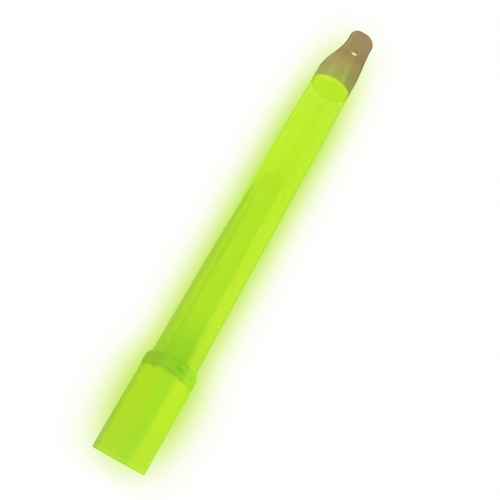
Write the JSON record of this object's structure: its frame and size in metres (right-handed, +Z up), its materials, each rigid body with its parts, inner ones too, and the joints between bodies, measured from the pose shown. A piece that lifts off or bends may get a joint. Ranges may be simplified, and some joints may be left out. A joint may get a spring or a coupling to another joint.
{
  "type": "chemical light baton",
  "caption": "Tapered glowing light tube with a flat hanging tab and hole at its dull tip, a bead ring and a wider foot cup that it stands on, and a loose glass ampoule inside.",
  "frame": {"origin": "middle of the cup's underside, where the baton stands", "axes": "+Z up the tube towards the hanging tab, +Y through the hole in the tab"},
  "size_m": [0.0402, 0.0402, 0.381],
  "materials": {
    "tube_plastic": "smooth moulded, lit from within",
    "ring_plastic": "thick glossy weld bead, lit from within",
    "cup_plastic": "smooth moulded, lit from within",
    "plug_plastic": "plain moulded",
    "lit_solution": "clear glowing liquid",
    "clear_glass": "thin drawn glass",
    "activator": "clear liquid"
  },
  "bodies": {
    "baton": {"light_tube": "tube_plastic", "collar_ring": "ring_plastic", "base_cup": "cup_plastic", "end_plug": "plug_plastic", "glow_liquid": "lit_solution"},
    "ampoule": {"ampoule_glass": "clear_glass", "activator_liquid": "activator"}
  },
  "joints": [
    {"name": "ampoule_float", "type": "slide", "parent": "baton", "child": "ampoule", "axis": [-0.0145, 0, 0.9999], "range_m": [0, 0.0925]}
  ]
}
